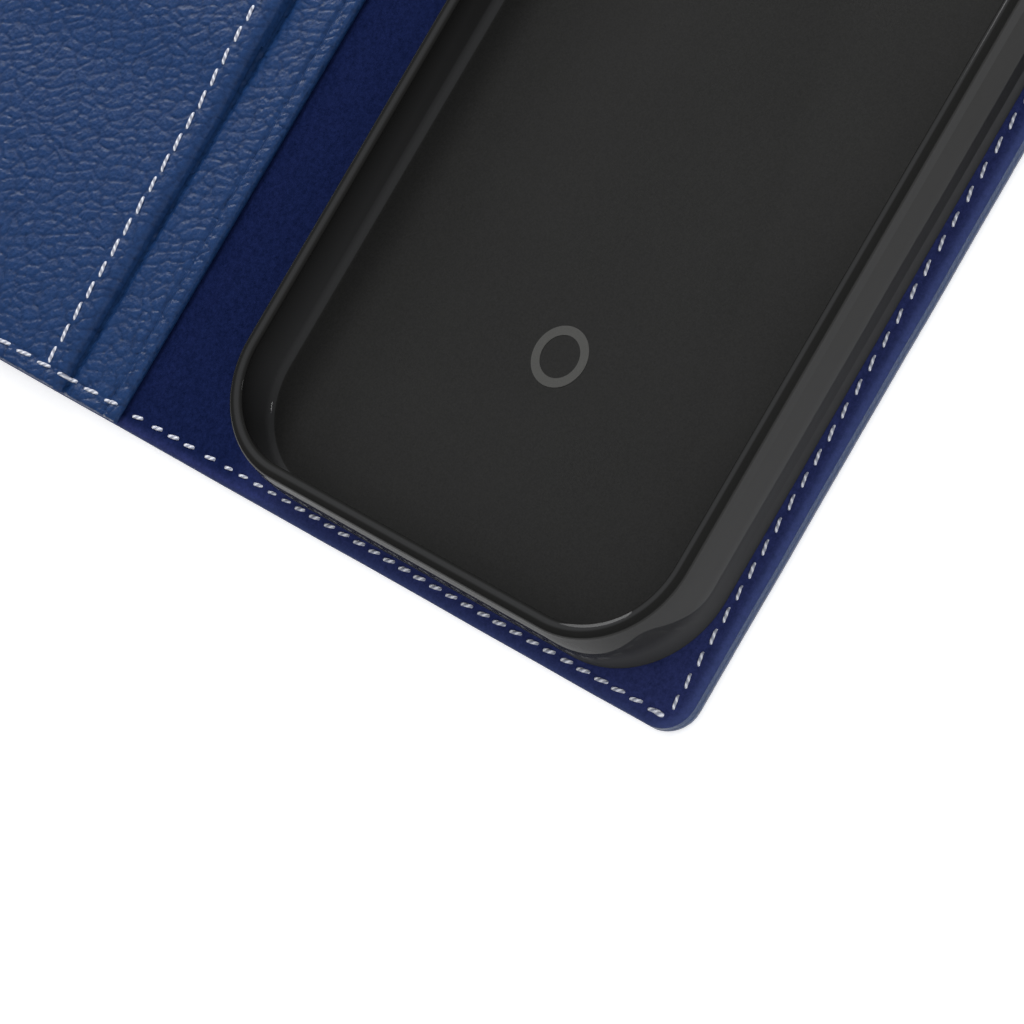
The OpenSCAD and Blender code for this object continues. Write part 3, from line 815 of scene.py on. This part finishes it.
# the card panels hide all but its right part, so the grid is coarse under them
shows = CARD_X - 1.5
xs = np.concatenate([places(LEFT, shows, 2.5, bx, 0.3),
                     places(shows, CASH_X, 0.22, [(CASH_X - 3.2, CASH_X)], 0.15)[1:]])
skin = leaf("cash_pocket_panel_skin", cash_rect, xs, places(LOW, HIGH, 0.22, by, FINE), cash_face,
            level(INSIDE_Z + 0.02), FREE, reach=0.5, fall=0.42, corner=COVER_R - POCKET_IN, tuck=0.08,
            lip=(0.75, 0.62, 0.30), relief=grain, relief_h=PEBBLE_H)
settle(skin, "front_cover", "cash_pocket_panel", "pebbled_leather", LEATHER)


def base_face(x, y):
    """The panel behind the card slots: flat, pulled down a little along its seams."""
    return BASE_TOP - gutter(pocket_seams(x, y), 0.09, 0.5)


# above the slots its edge rolls over; under them it lies within the slot panels' own rolled edge
under_slots = SLOTS_TOP - 0.2
base_rect = (LEFT, CARD_X - 0.9, LOW, under_slots)
bx, by = fine_bands(base_rect, FREE, card_seams, 0.5)
lower = leaf("card_base_lower_skin", base_rect, places(LEFT, base_rect[1], 3.0, bx, 0.4),
             places(LOW, under_slots, 3.0, by, 0.3), base_face, level(CASH_TOP + 0.005),
             ("left", "low"), reach=0.3, fall=0.2, corner=COVER_R - POCKET_IN, tuck=0.05)
upper_rect = (LEFT, CARD_X, under_slots, HIGH)
bx, by = fine_bands(upper_rect, ("left", "high"), card_seams, 0.6)
bx += [(CARD_X - 1.4, CARD_X)]
skin = leaf("card_base_panel_skin", upper_rect, places(LEFT, CARD_X, 0.27, bx, FINE),
            places(under_slots, HIGH, 0.27, by, FINE), base_face, level(CASH_TOP + 0.005),
            ("left", "high"), reach=0.45, fall=0.40, corner=COVER_R - POCKET_IN, tuck=0.06,
            lip=(1.3, 0.50, 0.12), relief=grain, relief_h=PEBBLE_H)
settle(skin, "front_cover", "card_base_panel", "pebbled_leather", LEATHER)
lower.data.materials.append(LEATHER)
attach(lower, "front_cover")


def lift(y, k):
    """How much higher slot panel k lies at y, as it climbs onto the next panel's lower edge. The
    third lies low all over."""
    if k == 3:
        return np.zeros(np.shape(y))
    climb = float(slot_low[k + 1][1]) - 0.2
    t = np.clip((y - climb) / DRAPE[k] + 1, 0, 1)
    return (LEVEL_B - LEVEL_A) * t * t * (3 - 2 * t)


def slot_panel(k):
    """One card slot panel, its mouth at the upper end. Only the first is sewn down along its lower end."""
    y0, y1 = float(slot_low[k][1]), float(slot_high[k][1])
    first = k == 1

    def face(x, y):
        behind_mouth = gutter(y1 - y - 1.9, 0.05, 0.35)
        return LEVEL_A + lift(y, k) - behind_mouth - gutter(pocket_seams(x, y), *SLOT_TROUGH)

    def back(y):
        return LEVEL_A - SLOT_T + lift(y, k) - 0.28 * (first & (lift(y, k) < 0.01))

    free = ("left", "low") if first else ("left",)
    rect = (LEFT, CARD_X, y0 + POCKET_IN * first, y1)
    bx, by = fine_bands(rect, free, card_seams, 0.6)
    bx += [(CARD_X - 2.0, CARD_X)]
    mouth = [(y1 - 0.8, y1)]
    if first:
        ys = places(rect[2], y1, 0.23, by + mouth)
    else:
        # the panel in front hides its lower part, so the grid is coarse there
        ys = np.concatenate([places(y0, y0 + 9.0, 1.5), places(y0 + 9.0, y1, 0.23, mouth)[1:]])
    skin = leaf(f"card_slot_panel_{k}_skin", rect, places(LEFT, CARD_X, 0.23, bx, FINE), ys, face, back,
                free + ("high",), reach=0.5, fall=0.36, corner=COVER_R - POCKET_IN if first else 0.0,
                tuck=0.06, lip=(1.7, LEVEL_A - CASH_TOP - 0.06, 0.75), relief=grain, relief_h=PEBBLE_H)
    settle(skin, "front_cover", f"card_slot_panel_{k}", "pebbled_leather", LEATHER)


for k in (1, 2, 3):
    slot_panel(k)


def pockets_top(x, y):
    """Height of what shows on the inside of the front cover."""
    z = np.where(x < CASH_X, cash_face(x, y), inside_face(x, y))
    z = np.where((x < CARD_X) & (y > SLOTS_TOP), base_face(x, y), z)
    step = np.full(np.shape(x), LEVEL_A)
    for k, lowest in ((1, -HALF_LEN), (2, float(slot_high[1][1]))):
        step = np.where((y > lowest) & (y <= slot_high[k][1]), LEVEL_A + lift(y, k), step)
    dip = gutter(pocket_seams(x, y), *SLOT_TROUGH)
    return np.where((x < CARD_X) & (y <= SLOTS_TOP), step - dip, z)


# ---------------------------------------------------------------- the shell

def shell_section():
    """The wall and floor's section, as points (distance in from the foot, height above the lining). It
    goes up the outside, which leans in with the fourth power of the height, over the rim and the
    lip's tip, down inside, round the cove and in along the floor. The second part goes back out
    under the floor, past the pad's recess. The third value is how light each point is painted, which
    is painted reflection and highlight on the outer wall, the crest, the cove, the foot and the floor's
    edge."""
    h = float(shell_high[2] - shell_low[2])
    # wall thickness, its lean, and the radii of the rim, the cove, the lip's underside and its tip
    wall, lean, rim_r, cove, reach, nose = 1.45, 0.6, 0.8, 1.15, 1.05, 0.24
    inner, phone_top = wall + reach, h - 0.7
    t = np.linspace(0, 1, 25)
    out = np.stack([lean * t ** 4, (h - rim_r) * t], 1)
    foot = np.array([[0.12, 0.0], [0.03, 0.04]])
    out[0] = (0.0, 0.14)
    a = np.linspace(180, 90, 9)[1:] * math.pi / 180
    rim = np.stack([lean + rim_r + rim_r * np.cos(a), h - rim_r + rim_r * np.sin(a)], 1)
    a = np.linspace(80, -76, 11) * math.pi / 180
    tip = np.stack([inner - nose + nose * np.cos(a), phone_top + nose + nose * np.sin(a)], 1)
    a = np.linspace(106, 180, 12) * math.pi / 180
    under = np.stack([inner + reach * np.cos(a), phone_top - reach + reach * np.sin(a)], 1)
    a = np.linspace(180, 270, 14) * math.pi / 180
    round_in = np.stack([wall + cove + cove * np.cos(a), FLOOR_T + cove + cove * np.sin(a)], 1)
    flat = np.array([[wall + cove + 0.35, FLOOR_T], [9.0, FLOOR_T]])
    below = np.array([[9.0, 0.3], [4.0, 0.3], [4.0, 0.0]])
    crest = rim[-1] + np.array([[0.3, 0.10], [0.7, 0.34]]) * (tip[0] - rim[-1])
    # painted reflection: the outer wall's lower part is painted lighter than its upper part; the crest gets
    # a painted highlight, and the cove, foot and floor's edge painted light
    outer_wall_painted_light = 0.82 - 0.48 * np.clip((t - 0.35) / 0.2, 0, 1)
    parts = ((foot, 0.8), (out, outer_wall_painted_light), (rim, 0.0), (crest, 0.45), (tip, 0.0), (under, 0.1),
             (round_in, 0.65), (flat, 0.7), (below, 0.0))
    painted_light = np.concatenate([np.zeros(len(points)) + tone for points, tone in parts])
    return np.concatenate([points for points, tone in parts[:-1]]), below, painted_light


def make_shell():
    """The section carried round the shell's outline, then cut for the camera and the buttons. An
    attribute keeps how light each point is painted, which is painted reflection and highlight."""
    section, below, painted_light = shell_section()
    x, y, outward_x, outward_y = round_outline(shell_half[0], shell_half[1], SHELL_R, 30)
    line = np.concatenate([section, below])
    px = (shell_mid[0] + x)[:, None] - outward_x[:, None] * line[:, 0]
    py = (shell_mid[1] + y)[:, None] - outward_y[:, None] * line[:, 0]
    pz = np.zeros(px.shape) + line[:, 1] + shell_low[2]
    n, m = px.shape
    i, j = np.meshgrid(np.arange(n), np.arange(m), indexing="ij")
    i, j = i.ravel(), j.ravel()
    # no strip joins the floor's top ring to the recess's ring below it
    gap = len(section) - 1
    keep = j != gap
    i, j = i[keep], j[keep]
    nxt_i, nxt_j = (i + 1) % n, (j + 1) % m
    faces = [tuple(f) for f in np.stack([i * m + j, nxt_i * m + j, nxt_i * m + nxt_j, i * m + nxt_j], 1)]
    faces.append(tuple(np.arange(n) * m + gap))
    faces.append(tuple((np.arange(n) * m + gap + 1)[::-1]))
    sharp = 32
    shell = make_mesh("phone_shell_skin", np.stack([px, py, pz], -1).reshape(-1, 3), faces, sharp=sharp,
                      weld=False, attributes=[("painted_light", np.tile(painted_light, n))])
    top = INSIDE_Z + FLOOR_T
    flare = [(INSIDE_Z - 1, 0.0), (top - 0.35, 0.0), (top - 0.20, 0.04), (top - 0.08, 0.12), (top, 0.3),
             (top + 0.5, 0.8)]
    cut(shell, flared_cutter("tool_c", window_mid, CAMERA, CAMERA_R, flare), sharp)
    for name, side, wall in (("volume_opening", -1, shell_low[0]), ("power_opening", 1, shell_high[0])):
        box = opening_of[name]
        middle = ((box[0][1] + box[1][1]) / 2, (box[0][2] + box[1][2]) / 2)
        # the ends are round, so the cut is longer than the opening that a fingertip needs
        high = 2.1
        half = ((box[1][1] - box[0][1]) / 2 + 3.0, high)
        wall = wall - side * 0.75
        flare = [(-6, 0.0), (-0.45, 0.0), (-0.2, 0.06), (0, 0.2), (0.9, 1.1)]
        flare = [(wall + side * away, growth) for away, growth in flare[::side]]
        cut(shell, flared_cutter("tool_" + name, middle, half, high, flare, upright=False), sharp)
    mesh = shell.data
    count = len(mesh.polygons)
    centre, normal = np.zeros(count * 3), np.zeros(count * 3)
    mesh.polygons.foreach_get("center", centre)
    mesh.polygons.foreach_get("normal", normal)
    centre, normal = centre.reshape(-1, 3), normal.reshape(-1, 3)
    floor = (normal[:, 2] > 0.9) & (np.abs(centre[:, 2] / MM - top) < 0.1)
    mesh.polygons.foreach_set("material_index", floor.astype(np.int32))
    return shell


settle(make_shell(), "back_cover", "phone_shell", "gloss_shell", GLOSS, FLOOR_MATTE)


# ---------------------------------------------------------------- stitching

def outside(x, y):
    """Height on which the outer face's stitches lie."""
    return outside_face(x, y) - 0.02


def both_faces(name, body, node, inside_runs, outside_runs, inside_height):
    """One seam: its stitches on the inside, at inside_height, and on the outer face."""
    groups = [(r, inside_height, 1) for r in inside_runs] + [(r, outside, -1) for r in outside_runs]
    settle(stitch_mesh(name, groups), body, node, "thread", THREAD)


def under(*corners):
    """Stitches on the outer face, in straight runs from corner to corner."""
    return [run(a, b, (3.0, 3.0), (2.0, 2.0), 0.5, 0.24, 1) for a, b in zip(corners, corners[1:])]


both_faces("back_edge_stitches", "back_cover", "back_edge_thread", [
    wander(run((COVER_X - 0.5, -SEAM_Y), (22.0, -SEAM_Y), (2.8, 2.45), (1.75, 1.75), 0.43, 0.14, 2)),
    wander(run((22.0, -SEAM_Y), (SEAM_X - 0.6, -SEAM_Y), (2.55, 2.8), (2.05, 2.4), 0.50, 0.18, 3)),
    run((SEAM_X, -SEAM_Y + 0.2), (SEAM_X, SEAM_Y - 0.2), (2.9, 3.8), (2.35, 2.7), 0.44, 0.20, 4),
    run((SEAM_X - 0.6, SEAM_Y), (COVER_X, SEAM_Y), (2.9, 3.1), (2.0, 2.0), 0.5, 0.18, 5),
    run((SEAM_X - 2.2, -SEAM_Y - 0.30), (SEAM_X - 0.2, -SEAM_Y - 0.46), (2, 2), (1.8, 1.8), 0.66, 0.05, 6),
], under((COVER_X, -SEAM_Y), (SEAM_X, -SEAM_Y), (SEAM_X, SEAM_Y), (COVER_X, SEAM_Y)), inside_face)


def window_run():
    """Stitches round the camera window, evenly spaced by length along it."""
    x, y, _, _ = round_outline(WINDOW_SEAM[0], WINDOW_SEAM[1], WINDOW_SEAM_R, 24)
    x, y = np.append(x, x[0]) + window_mid[0], np.append(y, y[0]) + window_mid[1]
    along = np.concatenate([[0], np.cumsum(np.hypot(np.diff(x), np.diff(y)))])
    length, pitch, slant, near = along[-1], 3.0, 0.12, 0.5
    n = int(round(length / pitch))
    at = (np.arange(n) + 0.5) / n * length
    cx, cy = np.interp(at, along, x), np.interp(at, along, y)
    dx, dy = (np.interp(at + near, along, v, period=length) - np.interp(at - near, along, v, period=length)
              for v in (x, y))
    k = np.hypot(dx, dy)
    dx, dy = dx / k, dy / k
    c, s = math.cos(slant), math.sin(slant)
    one = np.ones(n)
    return np.stack([cx, cy, dx * c - dy * s, dx * s + dy * c, 2.0 * one, 0.5 * one], 1)


settle(stitch_mesh("camera_window_stitches", [(window_run(), outside, -1)]), "back_cover",
       "camera_window_thread", "thread", THREAD)


def fold_seams(name, body, node, x0, inside_x, outside_x, seed):
    """A seam's two stretches across a fold or the spine, at the lower and the upper edge."""
    both_faces(name, body, node,
               [run((x0, s * SEAM_Y), (inside_x, s * SEAM_Y), (3.2, 3.2), (2.15, 2.15), 0.5, 0.16, seed)
                for s in (-1, 1)],
               [r for s in (-1, 1) for r in under((x0, s * SEAM_Y), (outside_x, s * SEAM_Y))], inside_face)


fold_seams("back_fold_stitches", fold_back, "back_fold_thread", COVER_X, SPINE_X, SPINE_X, 7)
fold_seams("spine_edge_stitches", "spine", "spine_edge_thread", SPINE_X, -SPINE_X, -SPINE_X, 7)
fold_seams("front_fold_stitches", fold_front, "front_fold_thread", -SPINE_X, CASH_X, -COVER_X, 8)
both_faces("front_edge_stitches", "front_cover", "front_edge_thread", [
    *(run((CASH_X - 0.2, s * SEAM_Y), (-SEAM_X, s * SEAM_Y), (4.0, 4.0), (3.1, 3.1), 0.5, 0.10, 9)
      for s in (-1, 1)),
    run((-SEAM_X, SEAM_Y), (-SEAM_X, -SEAM_Y), (3.0, 3.0), (2.1, 2.1), 0.52, 0.2, 10),
], under((-COVER_X, -SEAM_Y), (-SEAM_X, -SEAM_Y), (-SEAM_X, SEAM_Y), (-COVER_X, SEAM_Y)), pockets_top)
both_faces("card_seam_stitches", "front_cover", "card_seam_thread", [
    run((CARD_SEAM_X, -SEAM_Y + 0.1), (CARD_SEAM_X, SEAM_Y - 0.1),
        (3.19, 3.19), (2.95, 2.95), 0.52, 0.16, 12),
], [], pockets_top)


# ---------------------------------------------------------------- CAD parts that keep their shape

for node, material in {
    "back_board": BOARD, "spine_board": BOARD, "front_board": BOARD, "shell_adhesive": FOAM,
    "shell_print": PRINT, "card_slot_lining_3": WEAVE, "card_slot_lining_2": WEAVE,
}.items():
    mesh = frame["nodes"][node].data
    mesh.materials.clear()
    mesh.materials.append(material)


# ---------------------------------------------------------------- camera, light and floor

def studio():
    """The camera as the case is usually shown, a pale table and soft lights. Here lengths are metres."""
    # the camera looks from this azimuth and elevation, and is turned about its own line of sight
    az, el, turn = math.radians(85.4), math.radians(54.89), math.radians(-56.01)
    back = Vector((math.sin(az) * math.cos(el), -math.cos(az) * math.cos(el), math.sin(el)))
    right = (-back).cross(Vector((0, 0, 1))).normalized()
    up = right.cross(-back)
    across = math.cos(turn) * right + math.sin(turn) * up
    upright = -math.sin(turn) * right + math.cos(turn) * up
    data = bpy.data.cameras.new("camera")
    data.lens, data.sensor_width = 158.45, 36.0
    data.clip_start, data.clip_end = 0.01, 20.0
    camera = bpy.data.objects.new("camera", data)
    bpy.context.scene.collection.objects.link(camera)
    looked_at, distance = Vector((0.04913, -0.06305, 0.0)), 0.547
    turned = Matrix((across, upright, back)).transposed().to_4x4()
    camera.matrix_world = Matrix.Translation(looked_at + back * distance) @ turned
    bpy.context.scene.camera = camera

    p = Paint("pale_table", Specular_IOR_Level=0.1, Emission_Color=(1, 1, 1, 1), Emission_Strength=0.38)
    cloud = p.noise(p.place(), 60.0)
    white = p.feed(Base_Color=p.mix(cloud, shade(0.88, 0.88, 0.88), shade(0.90, 0.90, 0.90)),
                   Roughness=0.8 + cloud * 0.1)
    # in millimetres, as make_mesh takes them
    half, under_case = 2500, -0.06
    table = make_mesh("table", [(sx * half, sy * half, under_case) for sx, sy in
                                ((-1, -1), (1, -1), (1, 1), (-1, 1))], [(0, 1, 2, 3)])
    table.data.materials.append(white)

    world = bpy.data.worlds.new("studio")
    world.use_nodes = True
    sky = world.node_tree.nodes["Background"].inputs
    sky["Color"].default_value, sky["Strength"].default_value = (0.93, 0.96, 1.0, 1.0), 0.16
    bpy.context.scene.world = world
    # (name, place, size, watts, whether glossy surfaces mirror it)
    for name, where, size, power, mirrored in (
        ("key", (-0.40, 0.60, 0.75), 0.45, 9.0, False),
        ("glance", (-0.80, 0.39, 0.46), 0.36, 2.4, True),
        ("glint", (0.62, 0.62, 0.60), 0.16, 0.9, True),
        ("over", (-0.10, 0.05, 1.2), 1.2, 5.5, False),
        ("fill", (0.95, -0.45, 0.80), 1.1, 12.0, False),
    ):
        light = bpy.data.lights.new(name, "AREA")
        light.shape, light.size, light.energy = "SQUARE", size, power
        lamp = bpy.data.objects.new(name, light)
        bpy.context.scene.collection.objects.link(lamp)
        lamp.location = where
        lamp.visible_glossy = mirrored
        lamp.rotation_mode = "QUATERNION"
        lamp.rotation_quaternion = (-Vector(where)).to_track_quat("-Z", "Y")
    bpy.context.scene.view_settings.view_transform = "Standard"


studio()
